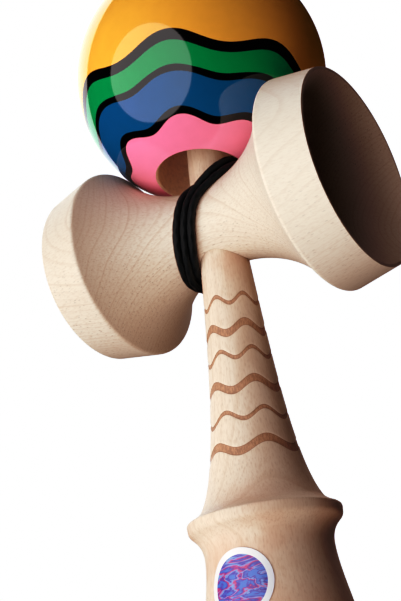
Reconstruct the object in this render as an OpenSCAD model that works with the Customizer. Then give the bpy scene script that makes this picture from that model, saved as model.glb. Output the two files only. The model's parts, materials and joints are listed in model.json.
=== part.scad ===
// Kendama: a turned handle with a spike, a cross piece with two cups, a painted ball on the spike
// and a string that is wound round the neck of the cross piece.
// Millimetres, +Z up along the handle, +X towards the big cup, -Y is the front.
// The origin is on the handle's axis, in the plane that the base rim stands on.

/* [Handle] */
// Height of the cross piece's axis above the base plane
cross_z = 97; // [85:1:120]
// Height of the spike's tip above the cross piece's axis
spike_h = 54; // [44:1:58]
// Diameter of the handle where it enters the cross piece from below
shaft_low_d = 11.4; // [10:0.1:13]
// Diameter of the handle where it leaves the cross piece at the top
shaft_high_d = 10.9; // [9:0.1:12]
// Diameter of the spike where its rounded tip begins
spike_tip_d = 7.4; // [5:0.1:8.5]
// Length of the rounded tip
spike_tip_h = 3.6; // [2:0.1:6]
// Height of the ring above the base plane
ring_z = 27.5; // [22:0.5:34]
// Diameter of the ring
ring_d = 33.2; // [29:0.1:38]
// Height from the ring's middle up to where the handle's flare meets it
ring_rise = 3.3; // [2.5:0.1:5]
// Diameter of the flare where it meets the ring
flare_d = 26.6; // [22:0.1:28]
// Diameter of the waist below the ring
waist_d = 27.4; // [23:0.1:28.5]
// Height from the waist up to the ring's middle
waist_drop = 6.5; // [5:0.1:9]
// Diameter of the base rim
base_d = 34; // [30:0.1:40]
// Diameter of the base cup's mouth
base_mouth_d = 30.4; // [24:0.1:31]
// Depth of the base cup
base_cup_depth = 7; // [4:0.1:10]
// Rounding of the base rim's outer edge
base_round = 0.8; // [0.3:0.1:1.2]

/* [Cross piece] */
// Diameter of the neck at its thinnest place
neck_d = 19.4; // [17.5:0.1:22]
// Length from the handle's axis to the big cup's lip
big_len = 37.3; // [33:0.1:42]
// Diameter of the big cup at its back edge
big_edge_d = 50.3; // [46:0.1:54]
// Diameter of the big cup at its lip
big_lip_d = 46.6; // [42:0.1:50]
// Depth of the big cup
big_cup_depth = 12; // [8:0.1:14]
// Length from the handle's axis to the small cup's lip
small_len = 36.5; // [33:0.1:42]
// Diameter of the small cup at its back edge
small_edge_d = 46.8; // [42:0.1:50]
// Diameter of the small cup at its lip
small_lip_d = 42.2; // [38:0.1:46]
// Depth of the small cup
small_cup_depth = 10.5; // [7:0.1:13]
// Width of the flat lip of both cups
lip_w = 0.7; // [0.4:0.1:1.5]
// Rounding of the cups' back edges
edge_round = 1.2; // [0.4:0.1:2]

/* [Ball] */
// Diameter of the ball
ball_d = 60.8; // [56:0.1:64]
// Diameter of the hole's mouth
hole_d = 21.5; // [19:0.1:23]
// Diameter of the hole at its inner end
hole_end_d = 18.8; // [16:0.1:20]
// Distance from the ball's middle to the hole's inner end
hole_end_rise = 16.2; // [14.5:0.1:17]
// Lean of the ball towards the back on the spike, in degrees
ball_lean = 10.8; // [8:0.1:13]
// Sideways place of the ball's middle from the handle's axis
ball_shift_x = -0.6; // [-1:0.1:0.4]
// Backward place of the ball's middle from the handle's axis
ball_shift_y = 3.3; // [2.5:0.1:4]

/* [String] */
// Diameter of the string
string_d = 1.5; // [1.2:0.05:1.6]
// Gap between turns that lie side by side
string_gap = 0.45; // [0.42:0.01:0.6]
// Gap between the string and the wood that it is wound on
string_lift = 0.2; // [0.15:0.01:0.3]
// Diameter of the bead in the ball
bead_d = 6.8; // [5:0.1:7]

/* [Sticker] */
// Diameter of the round sticker on the base
sticker_d = 14.5; // [10:0.1:16]
// Thickness of the sticker
sticker_t = 0.15; // [0.1:0.01:0.3]
// Height of the sticker's middle above the base plane
sticker_z = 13.6; // [11:0.1:14]
// Turn of the sticker from the front towards the big cup, in degrees
sticker_turn = 7; // [-180:1:180]

/* [Hidden] */

// Steps of a curve in an outline, and sides of a round solid
curve_steps = 14;
$fn = 96;
// Overrun of every cut
cut = 1;

// Cross piece: its neck is hollowed to the ball's own radius
neck_r = neck_d / 2;
ball_r = ball_d / 2;
saddle_r = ball_r;
saddle_mid = neck_r + saddle_r;

// Handle, and its fit in the cross piece
shaft_low_r = shaft_low_d / 2;
shaft_high_r = shaft_high_d / 2;
bore_clear = 0.03;
seat_half = neck_at(shaft_low_r + bore_clear) + bore_clear;
shaft_low_z = cross_z - seat_half;
shaft_high_z = cross_z + seat_half;
flare_z = ring_z + ring_rise;
waist_z = ring_z - waist_drop;
tip_z = cross_z + spike_h;
// How far the flare has opened and come down at its two guide points
flare_guide_1_shares = [0.20, 0.44];
flare_guide_2_shares = [0.37, 0.86];
// Guide points of the ring's under side and top, of the base below it and of the spike's tip
ring_under_shares = [0.55, 0.38];
ring_top_shares = [0.45, 0.39, 0.36];
base_open_share = 0.6;
base_rise_shares = [0.43, 0.75];
tip_guide_shares = [0.6, 0.6];

// Pocket that takes the root knot, and the small hole that the string comes out of
pocket_clear = 0.5;
pocket_sink = 0.9;
string_hole_clear = 0.45;
string_mouth_depth = 1.4;
string_mouth_spread = 1;

// Ball: it sits on the string that lies over the neck
string_r = string_d / 2;
ball_rise_share = 1.15;
ball_z = cross_z + saddle_mid + ball_rise_share * string_d;
hole_r = hole_d / 2;
hole_bevel = 0.5;
hole_mouth = sqrt(ball_r ^ 2 - (hole_r + hole_bevel) ^ 2);
bead_r = bead_d / 2;
bead_clear = 0.6;
bead_top_clear = 0.3;
bead_hole_clear = 0.3;
bead_hole_r = string_r + bead_hole_clear;
bead_rise = hole_end_rise + bead_r + bead_clear;
bead_seat_top = bead_rise + bead_r + bead_top_clear;
top_hole_r = string_r + string_hole_clear;
top_mouth_depth = 2.4;
top_mouth_spread = 1.8;

// Knots
knot_share = 2.2;
knot_d = knot_share * string_d;
knot_h = knot_share * string_d;
knot_round_share = 0.3;
root_knot_y = shaft_low_r - pocket_sink;
pocket_y = root_knot_y - knot_h - string_lift;
bead_knot_rise = bead_rise - sqrt(bead_r ^ 2 - bead_hole_r ^ 2) - string_gap;

// Winding: three turns that pass left of the handle below, and right of the spike above
turns = 3;
ring_step = 15;
pitch = string_d + string_gap;
pass_clear = 0.3;
pass_low = shaft_low_r + string_r + pass_clear + pitch / 2;
pass_high = shaft_high_r + string_r + pass_clear + pitch / 2;
// Angle round the neck (0 front, 90 top, 180 back), then three shares: place along the neck
// (of pass_high, or of pass_low where negative), spread (of the pitch) and rise of the middle turn
lane_shares = [
    [-90, -1.06, 0.55, 1.05],
    [-75, -1.00, 0.60, 1.05],
    [-60, -0.80, 0.80, 0.90],
    [-30, -0.52, 1.10, 0.40],
    [0, -0.29, 1.15, 0],
    [25, -0.12, 1.35, 0],
    [42, 0.15, 1.70, 0.30],
    [55, 0.60, 1.20, 0.90],
    [67, 0.95, 0.75, 1.05],
    [82, 1.05, 0.52, 1.05],
    [95, 1.04, 0.55, 1.05],
    [110, 0.97, 0.95, 0.65],
    [124, 0.78, 1.45, 0],
    [150, 0.08, 1.60, 0],
    [180, -0.50, 1.40, 0],
    [215, -0.90, 1.15, 0.20],
    [245, -1.06, 0.80, 0.95],
    [270, -1.06, 0.55, 1.05]
];
lane_reach = 12;
change_reach = 100;
lead_reach = 60;
wind_start = 204;
wind_rest = 12;
wind_end = 180 + 360 * turns - wind_rest;
// The string comes out of the hole at the back: backward and upward places in string diameters
lead_shares = [[-0.7, 0], [0.25, -0.45], [0.75, -1.4]];

// Route of the free string from the winding's end, in a slack bight behind the handle and up behind
// the ball to its top hole
free_route = [
    [-8.8, 12.8, 94],
    [-8.8, 12.9, 89],
    [-8.8, 12.9, 82],
    [-8.8, 12.9, 75],
    [-8.9, 13.1, 69.6],
    [-9.5, 14.2, 66.5],
    [-11, 16.7, 65.2],
    [-12.5, 19.2, 66.5],
    [-13.1, 20.3, 69.6],
    [-13.1, 20.6, 75],
    [-12.9, 21, 82],
    [-12.2, 21.8, 89],
    [-11.2, 23.1, 96],
    [-9.7, 25.1, 104],
    [-7.9, 27.7, 112],
    [-5.7, 30.7, 120],
    [-3.4, 33.4, 128],
    [-1.7, 35, 135],
    [-0.8, 35.1, 142],
    [-0.6, 33.2, 149.8],
    [-0.6, 29.6, 157],
    [-0.6, 25.4, 162],
    [-0.6, 21.2, 165.1],
    [-0.6, 17.4, 167.3],
    [-0.6, 14.6, 168.6],
    [-0.6, 12.5, 169.2],
    [-0.6, 10.7, 169],
    [-0.6, 9.3, 167.9]
];
// The rest of it runs down the ball's axis to the bead's knot
in_ball_rises = [ball_r - top_mouth_depth, bead_seat_top, bead_knot_rise];
rise_route = concat(free_route, [for (h = in_ball_rises) on_axis(h)]);
rise_steps = 2;

// Points of a curve with two guide points
function guided(a, b, c, d) =
    [for (i = [0 : curve_steps])
        let (t = i / curve_steps, u = 1 - t)
        u ^ 3 * a + 3 * u ^ 2 * t * b + 3 * u * t ^ 2 * c + t ^ 3 * d];

// Points that round the corner p between the points a and b, starting r before it
function rounded(a, p, b, r) =
    let (s = p + r * (a - p) / norm(a - p), e = p + r * (b - p) / norm(b - p))
    guided(s, (s + 2 * p) / 3, (e + 2 * p) / 3, e);

// Points of a round bowl from its middle, depth deep, out to its mouth at height 0
function bowl(mouth_r, depth) =
    let (r = (mouth_r ^ 2 + depth ^ 2) / (2 * depth), a = asin(mouth_r / r))
    [for (i = [0 : curve_steps])
        let (t = a * i / curve_steps)
        [r * sin(t), depth - r + r * cos(t)]];

// Radius of the neck at a place along the cross piece
function neck_at(x) = saddle_mid - sqrt(saddle_r ^ 2 - x ^ 2);

// Place along the cross piece where the neck has reached a radius
function neck_reach(r) = sqrt(saddle_r ^ 2 - (saddle_mid - r) ^ 2);

function mirrored(points) = [for (p = points) [p[0], -p[1]]];
function reversed(points) = [for (i = [len(points) - 1 : -1 : 0]) points[i]];

// Outline of the base from its rim up to the waist
function base_outline() =
    let (r = base_d / 2,
         w = waist_d / 2,
         guide = [w + (r - w) * base_open_share, waist_z * base_rise_shares[0]],
         rim = rounded([base_mouth_d / 2, 0], [r, 0], guide, base_round))
    concat(rim, guided(rim[curve_steps], guide, [w, waist_z * base_rise_shares[1]], [w, waist_z]));

// Outline of the ring from the waist up to where the flare meets it
function ring_outline() =
    let (r = ring_d / 2, f = flare_d / 2, w = waist_d / 2)
    concat(
        guided([w, waist_z],
               [w, waist_z + ring_under_shares[0] * waist_drop],
               [r, ring_z - ring_under_shares[1] * waist_drop],
               [r, ring_z]),
        guided([r, ring_z],
               [r, ring_z + ring_top_shares[0] * ring_rise],
               [f + ring_top_shares[1] * (r - f), flare_z - ring_top_shares[2] * ring_rise],
               [f, flare_z]));

// Outline of the grip from the ring up to the cross piece
function grip_outline() =
    let (opening = flare_d / 2 - shaft_low_r,
         fall = shaft_low_z - flare_z,
         guides = [for (g = [flare_guide_2_shares, flare_guide_1_shares])
             [shaft_low_r + g[0] * opening, shaft_low_z - g[1] * fall]])
    guided([flare_d / 2, flare_z], guides[0], guides[1], [shaft_low_r, shaft_low_z]);

// Outline of the spike's rounded tip
function tip_outline() =
    let (r = spike_tip_d / 2, h = spike_tip_h)
    guided([r, tip_z - h],
           [r, tip_z - h + tip_guide_shares[0] * h],
           [tip_guide_shares[1] * r, tip_z],
           [0, tip_z]);

// Outline of the handle from the base cup to the spike's tip
function handle_outline() =
    concat(
        bowl(base_mouth_d / 2, base_cup_depth),
        base_outline(),
        ring_outline(),
        grip_outline(),
        [[shaft_high_r, shaft_high_z]],
        tip_outline());

// Outline of what is bored out of the ball along its axis, from the hole's mouth to the top
function ball_bore_outline() =
    let (bevel_h = ball_r - hole_mouth + hole_bevel + cut,
         mouth_z = hole_bevel - hole_mouth,
         seat_r = bead_r + bead_clear,
         mouth_slope = top_mouth_spread / top_mouth_depth)
    [[0, mouth_z - bevel_h],
     [hole_r + bevel_h, mouth_z - bevel_h],
     [hole_r, mouth_z],
     [hole_end_d / 2, hole_end_rise],
     [seat_r, hole_end_rise],
     [seat_r, bead_seat_top],
     [top_hole_r, bead_seat_top],
     [top_hole_r, ball_r - top_mouth_depth],
     [top_hole_r + top_mouth_spread + cut * mouth_slope, ball_r + cut],
     [0, ball_r + cut]];

// Outline of one cup from its bowl's middle to its back edge, as radius and length
function cup_outline(length, lip_d, edge_d, depth) =
    let (lip = [lip_d / 2, length],
         edge_r = edge_d / 2,
         back_r = edge_r - edge_round)
    concat(
        [for (p = bowl(lip_d / 2 - lip_w, depth)) [p[0], length - p[1]]],
        [lip],
        rounded(lip, [edge_r, neck_reach(edge_r)], [back_r, neck_reach(back_r)], edge_round));

// Outline of the neck between two places along the cross piece
function neck_outline(from, to) =
    [for (i = [0 : 4 * curve_steps])
        let (x = from + (to - from) * i / (4 * curve_steps))
        [neck_at(x), x]];

// Share read from the lane table at an angle, straight between its rows
function lane_row(a, k = 0) = a < lane_shares[k + 1][0] ? k : lane_row(a, k + 1);
function lane_turn(a) = (a + 90) - 360 * floor((a + 90) / 360) - 90;
function lane_raw(column, a) =
    let (b = lane_turn(a), k = lane_row(b), p = lane_shares[k], q = lane_shares[k + 1])
    p[column] + (q[column] - p[column]) * (b - p[0]) / (q[0] - p[0]);

// The same share, softened over the angles close by
soft_places = [for (i = [-4 : 4]) i / 4];
soft_weights = [for (w = soft_places) 1 - 0.9 * abs(w)];
function total(values, i = 0) = i == len(values) ? 0 : values[i] + total(values, i + 1);
function lane_soft(column, a) =
    total([for (i = [0 : len(soft_places) - 1])
        soft_weights[i] * lane_raw(column, a + lane_reach * soft_places[i])]) / total(soft_weights);

// Point on the ball's own axis at a height from its middle
function on_axis(h) =
    [ball_shift_x, ball_shift_y + h * sin(ball_lean), ball_z + h * cos(ball_lean)];

function eased(t) = let (u = max(0, min(1, t))) u * u * (3 - 2 * u);

// Which side of the bundle a turn lies on: 1 at its right, 0 in its middle, -1 at its left
function turn_side(a) =
    let (n = floor((a - 180) / 360 + 0.5))
    2 - n - eased((a - 180 - 360 * n) / change_reach + 0.5);

// Point of the winding at an angle that counts on from turn to turn
function wound(a) =
    let (lane = lane_soft(1, a),
         side = turn_side(a),
         place = (lane > 0 ? pass_high : pass_low) * lane + side * pitch * lane_soft(2, a),
         x = place * eased((a - 180) / lead_reach),
         rise = pitch * lane_soft(3, a) * eased(1 - abs(side)),
         r = neck_at(x) + string_lift + string_r + rise)
    [x, -r * cos(a), cross_z + r * sin(a)];

lead_points = concat(
    [[0, root_knot_y, cross_z], [0, root_knot_y + string_d, cross_z]],
    [for (p = lead_shares) [0, neck_r + p[0] * string_d, cross_z + p[1] * string_d]]);
wound_points = [for (a = [wind_start : ring_step : wind_end]) wound(a)];
winding_points = concat(lead_points, wound_points, [rise_route[0] + [0, 0, string_d], rise_route[0]]);

// Least gap between turns, on points half a turn or more apart
half_turn = 180 / ring_step;
least_gap = min([for (i = [0 : len(wound_points) - 1])
    for (j = [i + half_turn : 1 : len(wound_points) - 1])
        norm(wound_points[i] - wound_points[j])]) - string_d;
echo(least_gap_of_winding = least_gap);
function length_of(p) = total([for (i = [1 : len(p) - 1]) norm(p[i] - p[i - 1])]);
echo(length_of_winding = length_of(winding_points));

// Points of a smooth line through the route's points
function smooth_line(p, n) =
    let (m = len(p) - 1)
    concat([for (i = [0 : m - 1])
        let (a = p[max(0, i - 1)], b = p[i], c = p[i + 1], d = p[min(m, i + 2)])
        for (k = [0 : n - 1])
            let (t = k / n)
            b + ((c - a) * t + (2 * a - 5 * b + 4 * c - d) * t ^ 2 + (3 * b - a - 3 * c + d) * t ^ 3) / 2],
        [p[m]]);
rise_points = smooth_line(rise_route, rise_steps);
echo(length_of_rise = length_of(rise_points));

function unit(v) = v / norm(v);

// Side vector of each ring, carried on from the last one so that the tube doesn't twist
function way(p, i) =
    i == 0 ? unit(p[1] - p[0]) :
    i == len(p) - 1 ? unit(p[i] - p[i - 1]) :
    unit(unit(p[i + 1] - p[i]) + unit(p[i] - p[i - 1]));
function sides(p, i = 0, last = [1, 0.02, 0.01], done = []) =
    i == len(p) ? done :
    let (w = way(p, i), s = unit(last - (last * w) * w))
    sides(p, i + 1, s, concat(done, [s]));

// Tube of n sides along points
module tube(p, r, n) {
    side = sides(p);
    points = [for (i = [0 : len(p) - 1])
        let (w = way(p, i), u = side[i], v = cross(w, u))
        for (k = [0 : n - 1])
            p[i] + r * (cos(360 * k / n) * u + sin(360 * k / n) * v)];
    m = len(p) - 1;
    walls = [for (i = [0 : m - 1])
        for (k = [0 : n - 1])
            let (a = i * n + k, b = i * n + (k + 1) % n)
            for (f = [[a, a + n, b + n], [a, b + n, b]])
                f];
    start = [for (k = [1 : n - 2]) [0, k, k + 1]];
    end = [for (k = [1 : n - 2]) [m * n, m * n + k + 1, m * n + k]];
    polyhedron(points, concat(walls, start, end));
}

// A tied knot, drawn tight: a short barrel with round ends along +Z
module knot() {
    r = knot_d / 2;
    rotate_extrude()
        polygon(concat(
            [[0, 0]],
            rounded([0, 0], [r, 0], [r, knot_h], knot_round_share * knot_d),
            rounded([r, 0], [r, knot_h], [0, knot_h], knot_round_share * knot_d),
            [[0, knot_h]]));
}

// Puts a shape made along the ball's own axis on the spike
module on_ball() {
    translate([ball_shift_x, ball_shift_y, ball_z])
        rotate([-ball_lean, 0, 0])
            children();
}

// Turned handle: base cup, ring, flared grip, shaft and spike in one piece of wood
module handle() {
    color("burlywood")
        difference() {
            rotate_extrude()
                polygon(handle_outline());
            translate([0, pocket_y, cross_z])
                rotate([-90, 0, 0])
                    cylinder(h = shaft_low_r - pocket_y + cut, r = knot_d / 2 + pocket_clear);
        }
}

// Turned cross piece: two cups on a hollowed neck, bored for the handle and for the string
module cross_piece() {
    big_back = neck_reach(big_edge_d / 2 - edge_round);
    small_back = neck_reach(small_edge_d / 2 - edge_round);
    hole_r = string_r + string_hole_clear;
    taper = (shaft_low_r - shaft_high_r) / (2 * seat_half);
    color("wheat")
        translate([0, 0, cross_z])
            difference() {
                rotate([0, 90, 0])
                    rotate_extrude()
                        polygon(concat(
                            mirrored(cup_outline(small_len, small_lip_d, small_edge_d, small_cup_depth)),
                            neck_outline(-small_back, big_back),
                            reversed(cup_outline(big_len, big_lip_d, big_edge_d, big_cup_depth))));
                translate([0, 0, -seat_half - cut])
                    cylinder(h = 2 * (seat_half + cut),
                             r1 = shaft_low_r + bore_clear + cut * taper,
                             r2 = shaft_high_r + bore_clear - cut * taper);
                rotate([-90, 0, 0])
                    cylinder(h = neck_r + cut, r = hole_r);
                translate([0, neck_r - string_mouth_depth, 0])
                    rotate([-90, 0, 0])
                        cylinder(h = string_mouth_depth + cut,
                                 r1 = hole_r,
                                 r2 = hole_r + string_mouth_spread * (1 + cut / string_mouth_depth));
            }
}

// Ball with a tapered hole for the spike, a seat for the bead and a small hole for the string
module ball() {
    color("darkorange")
        on_ball()
            difference() {
                sphere(r = ball_r);
                rotate_extrude()
                    polygon(ball_bore_outline());
            }
}

// Bead in the ball that keeps the string from pulling out and lets the ball turn
module bead() {
    color("peru")
        on_ball()
            translate([0, 0, bead_rise])
                difference() {
                    sphere(r = bead_r);
                    translate([0, 0, -bead_r - cut])
                        cylinder(h = bead_d + 2 * cut, r = bead_hole_r);
                }
}

// Knot below the bead
module bead_knot() {
    color("black")
        on_ball()
            translate([0, 0, bead_knot_rise - knot_h])
                knot();
}

// Knot in the handle's pocket
module root_knot() {
    color("black")
        translate([0, root_knot_y - knot_h, cross_z])
            rotate([-90, 0, 0])
                knot();
}

// String from the root knot out of the cross piece and round its neck
module string_winding() {
    color("black")
        tube(winding_points, string_r, 6);
}

// Free string from the neck up behind the ball, through its top hole and the bead
module string_rise() {
    color("black")
        tube(rise_points, string_r, 8);
}

// Round sticker, bent to the base
module base_sticker() {
    glue = sticker_t / 5;
    skin = [for (p = base_outline()) if (p[1] > base_round) p];
    color("slateblue")
        intersection() {
            rotate_extrude()
                polygon(concat(
                    [for (p = skin) p + [glue, 0]],
                    [for (p = reversed(skin)) p + [glue + sticker_t, 0]]));
            translate([0, 0, sticker_z])
                rotate([90, 0, sticker_turn])
                    cylinder(h = base_d, d = sticker_d);
        }
}

handle();
cross_piece();
ball();
bead();
bead_knot();
root_knot();
string_winding();
string_rise();
base_sticker();
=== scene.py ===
"""Kendama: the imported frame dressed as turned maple, a lacquered ball and a braided string."""

import json

import bpy
import numpy as np
from bpy.props import FloatProperty, FloatVectorProperty, IntProperty, PointerProperty
from mathutils import Matrix, Vector


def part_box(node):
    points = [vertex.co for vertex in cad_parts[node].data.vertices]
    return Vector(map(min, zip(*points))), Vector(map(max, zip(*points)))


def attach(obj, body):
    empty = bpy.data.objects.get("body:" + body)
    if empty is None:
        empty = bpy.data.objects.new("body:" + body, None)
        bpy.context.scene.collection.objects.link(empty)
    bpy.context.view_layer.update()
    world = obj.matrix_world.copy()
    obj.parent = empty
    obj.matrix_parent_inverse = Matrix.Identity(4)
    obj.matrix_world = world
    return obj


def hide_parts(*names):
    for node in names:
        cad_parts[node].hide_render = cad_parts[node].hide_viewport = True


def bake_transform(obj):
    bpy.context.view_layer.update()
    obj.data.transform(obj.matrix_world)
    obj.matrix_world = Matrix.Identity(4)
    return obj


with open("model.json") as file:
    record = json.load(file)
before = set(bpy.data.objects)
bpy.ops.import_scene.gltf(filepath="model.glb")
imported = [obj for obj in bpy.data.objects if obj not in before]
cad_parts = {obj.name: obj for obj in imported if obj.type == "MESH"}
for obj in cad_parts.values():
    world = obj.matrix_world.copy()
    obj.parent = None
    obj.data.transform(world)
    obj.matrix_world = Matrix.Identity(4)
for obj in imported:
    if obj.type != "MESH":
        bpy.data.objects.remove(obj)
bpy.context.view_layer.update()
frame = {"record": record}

bl_info = {
    "name": "Kendama",
    "version": (1, 0, 0),
    "blender": (4, 5, 0),
    "location": "3D View > Sidebar > Kendama",
    "description": "Builds a turned kendama with a lacquered ball and a braided string",
    "category": "Object",
}

# Shapes are worked out in millimetres and stored in metres
MM = 0.001
SPIN = {joint["name"]: joint for joint in frame["record"]["behaviour"]["joints"]}["ball_spin"]
RIGHT = np.array([1.0, 0.0, 0.0])
# The ball's own axes: up along the string's hole, right and back across it
BALL_MIDDLE = np.array(SPIN["pos_m"]) / MM
BALL_UP = np.array(SPIN["axis"])
BALL_RIGHT = RIGHT - BALL_UP[0] * BALL_UP
BALL_RIGHT /= np.linalg.norm(BALL_RIGHT)
BALL_BACK = np.cross(BALL_UP, BALL_RIGHT)
CROSS_Z = (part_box("cross_piece")[0][2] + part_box("cross_piece")[1][2]) / 2 / MM
CROSS_MIDDLE = np.array([0, 0, CROSS_Z])
TIP_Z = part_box("handle")[1][2] / MM
# Points round a turned piece, and the longest step along its outline
COLUMNS = 192
OUTLINE_STEP = 0.6
# Points of an outline closer than this are one, and a radius to divide by is at least this
SAME = 1e-6


def length(name, description, size_mm):
    """A length that a user may change, given here in millimetres."""
    return FloatProperty(
        name=name, description=description, default=size_mm * MM, min=0, precision=5,
        unit="LENGTH", subtype="DISTANCE",
    )


def colour(name, description, rgb):
    """A colour that a user may change, in linear red, green and blue."""
    return FloatVectorProperty(
        name=name, description=description, default=rgb, min=0, max=1, size=3, subtype="COLOR"
    )


def power(name, description, watts):
    """The power of a light that a user may change."""
    return FloatProperty(name=name, description=description, default=watts, min=0, unit="POWER")


class StringSettings(bpy.types.PropertyGroup):
    """Sizes and colours of the string and its knots."""

    diameter: length("Diameter", "Thickness of the braided string", 1.8)
    braid_pitch: length("Braid pitch", "Length of one turn of a braid strand", 3.2)
    knot_d: length("Knot size", "Width and height of each knot", 3.3)
    # The dark colour is the string's black with painted shade between the strands; the lighter one is a
    # painted sheen on their crests
    dark: colour("Dark", "Colour between the strands", (0.0022, 0.0026, 0.003))
    painted_sheen: colour("Shine", "Colour on the strands", (0.008, 0.010, 0.011))


class HandleSettings(bpy.types.PropertyGroup):
    """Sizes and colours of the handle."""

    base_d: length("Base width", "Width of the base at its rim", 34)
    base_mouth_d: length("Base cup width", "Width of the base cup's mouth", 30.4)
    base_cup_depth: length("Base cup depth", "Depth of the base cup", 7)
    base_round: length("Rim rounding", "Rounding of the base's rim", 0.8)
    waist_d: length("Waist width", "Width under the ring", 27.4)
    waist_z: length("Waist height", "Height of the waist under the ring", 21)
    ring_d: length("Ring width", "Width of the ring", 33.2)
    ring_z: length("Ring height", "Height of the ring's widest line", 27.5)
    ring_face_h: length("Ring face", "Height of the slanting face below the widest line", 1.0)
    ring_face_in: length("Ring face slant", "How far that face slants in", 0.2)
    ring_edge_h: length("Ring edge", "Height of the ring's upright edge", 1.15)
    ring_round: length("Ring rounding", "Rounding of the ring's lower and upper corners", 0.5)
    flare_d: length("Flare width", "Width of the grip where it meets the ring", 26.6)
    flare_z: length("Flare height", "Height where the grip meets the ring", 30.8)
    shaft_low_d: length("Shaft width below", "Width where the handle enters the cross piece", 11.4)
    shaft_high_d: length("Shaft width above", "Width where the handle leaves the cross piece", 10.9)
    spike_tip_d: length("Spike tip width", "Width where the spike's tip starts to round", 7.4)
    spike_tip_h: length("Spike tip height", "Height of the rounded tip", 3.6)
    wave_depth: length("Wave depth", "Depth of the burnt wavy lines", 0.12)
    wave_rise: length("Wave rise", "How far the wavy lines go up and down", 1.1)
    light: colour("Wood", "Colour of the early wood", (0.79, 0.67, 0.535))
    line: colour("Growth lines", "Colour of the late wood", (0.60, 0.45, 0.32))
    flush: colour("Flush", "Colour of the reddish clouds", (0.60, 0.33, 0.21))
    burn: colour("Burnt lines", "Colour of the burnt wavy lines", (0.535, 0.335, 0.215))


class CrossSettings(bpy.types.PropertyGroup):
    """Sizes and colours of the cross piece."""

    neck_d: length("Neck width", "Width of the neck at its middle", 19.4)
    saddle_r: length("Saddle radius", "Radius of the neck's hollow, nearly the ball's", 30.4)
    big_len: length("Big cup reach", "From the handle's axis to the big cup's lip", 37.3)
    big_lip_d: length("Big lip width", "Width of the big cup at its lip", 46.6)
    big_edge_d: length("Big edge width", "Width of the big cup at its back edge", 50.3)
    big_depth: length("Big cup depth", "Depth of the big cup's bowl", 12)
    small_len: length("Small cup reach", "From the handle's axis to the small cup's lip", 36.5)
    small_lip_d: length("Small lip width", "Width of the small cup at its lip", 42.2)
    small_edge_d: length("Small edge width", "Width of the small cup at its back edge", 46.8)
    small_depth: length("Small cup depth", "Depth of the small cup's bowl", 10.5)
    lip_w: length("Lip", "Width of the flat lip of each cup", 0.7)
    edge_round: length("Edge rounding", "Rounding of each cup's back edge", 0.7)
    light: colour("Wood", "Colour of the early wood", (0.765, 0.68, 0.56))
    line: colour("Growth lines", "Colour of the late wood", (0.60, 0.465, 0.345))
    # The big cup's band colour is painted light: a paler tone that stands in for the light falling on
    # the band
    band: colour("Big cup's band", "Paler wood of the big cup's band", (1.0, 0.92, 0.78))


class BallSettings(bpy.types.PropertyGroup):
    """Sizes and colours of the ball."""

    diameter: length("Ball width", "Width of the ball", 61.8)
    hole_d: length("Hole width", "Width of the spike's hole at its mouth", 21.1)
    hole_end_d: length("Hole end width", "Width of the hole at its upper end", 18.8)
    hole_end: length("Hole end", "Height of the hole's end over the ball's middle", 16.2)
    seat_d: length("Seat width", "Width of the bead's seat", 8)
    seat_end: length("Seat end", "Height of the seat's end over the ball's middle", 23.9)
    string_hole_d: length("String hole width", "Width of the string's hole", 2.4)
    bevel: length("Bevel", "Bevel of the hole's mouth", 0.4)
    wave_count: IntProperty(name="Waves", description="Waves in one turn", default=7, min=1)
    orange: colour("Orange", "Colour of the wide middle band", (0.98, 0.50, 0.08))
    black: colour("Black", "Colour of the narrow bands", (0.0008, 0.001, 0.0016))
    green: colour("Green", "Colour of the upper of the two inner bands", (0.001, 0.33, 0.11))
    blue: colour("Blue", "Colour of the lower of the two inner bands", (0.003, 0.11, 0.28))
    pink: colour("Pink", "Colour round the hole", (1.0, 0.31, 0.45))
    # The bare wood colour is partly the drilled wood's own, partly painted light: raised above the
    # outside wood so that the shaded hole shows lit
    bare: colour("Bare wood", "Colour of the unpainted hole", (1.0, 0.72, 0.52))


class BeadSettings(bpy.types.PropertyGroup):
    """Sizes and colours of the bead."""

    diameter: length("Bead width", "Width of the bead", 6.8)
    hole_d: length("Bead hole width", "Width of the bead's hole", 2.1)
    rise: length("Bead rise", "Height of the bead over the ball's middle", 20.2)
    wood: colour("Wood", "Colour of the bead", (0.42, 0.22, 0.10))


class StickerSettings(bpy.types.PropertyGroup):
    """Sizes and colours of the base's round sticker."""

    diameter: length("Sticker width", "Width of the round sticker", 14.5)
    border: length("Border", "Width of the white border", 1.3)
    thickness: length("Thickness", "Thickness of the vinyl", 0.15)
    glue: length("Glue", "Thickness of the glue under it", 0.03)
    height: length("Height", "Height of its middle over the base plane", 13.75)
    turn: FloatProperty(
        name="Turn", description="Turn from the front towards the big cup", default=np.radians(3),
        subtype="ANGLE", unit="ROTATION",
    )
    paper: colour("Border colour", "Colour of the border", (0.83, 0.82, 0.83))
    blue: colour("Blue", "Blue of the marbling", (0.05, 0.22, 0.55))
    violet: colour("Violet", "Violet of the marbling", (0.07, 0.03, 0.31))
    pink: colour("Pink", "Pink of the marbling", (0.56, 0.05, 0.18))
    sky: colour("Sky blue", "Light blue of the marbling", (0.16, 0.40, 0.66))
    pale: colour("Pale grain", "Pale grain over the print and the border", (0.55, 0.50, 0.72))


class StageSettings(bpy.types.PropertyGroup):
    """Floor, lights and camera."""

    floor: colour("Floor", "Colour of the floor", (0.86, 0.85, 0.83))
    lens: FloatProperty(
        name="Lens", description="Focal length of the camera", default=68.74, unit="CAMERA"
    )
    key: power("Key light", "Power of the big soft box", 4.55)
    side: power("Side light", "Power of the light low at the left", 1.7)
    top: power("Top light", "Power of the light above", 1.45)
    low: power("Low light", "Power of the light below", 1.15)
    rim: power("Rim light", "Power of the light behind", 2.2)
    back: power("Back light", "Power of the soft light at the back", 2.2)
    glow: FloatProperty(name="Floor glow", description="Even light of the floor itself", default=0.3)
    fill: FloatProperty(name="Fill", description="Strength of the room's own light", default=0.009)


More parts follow.
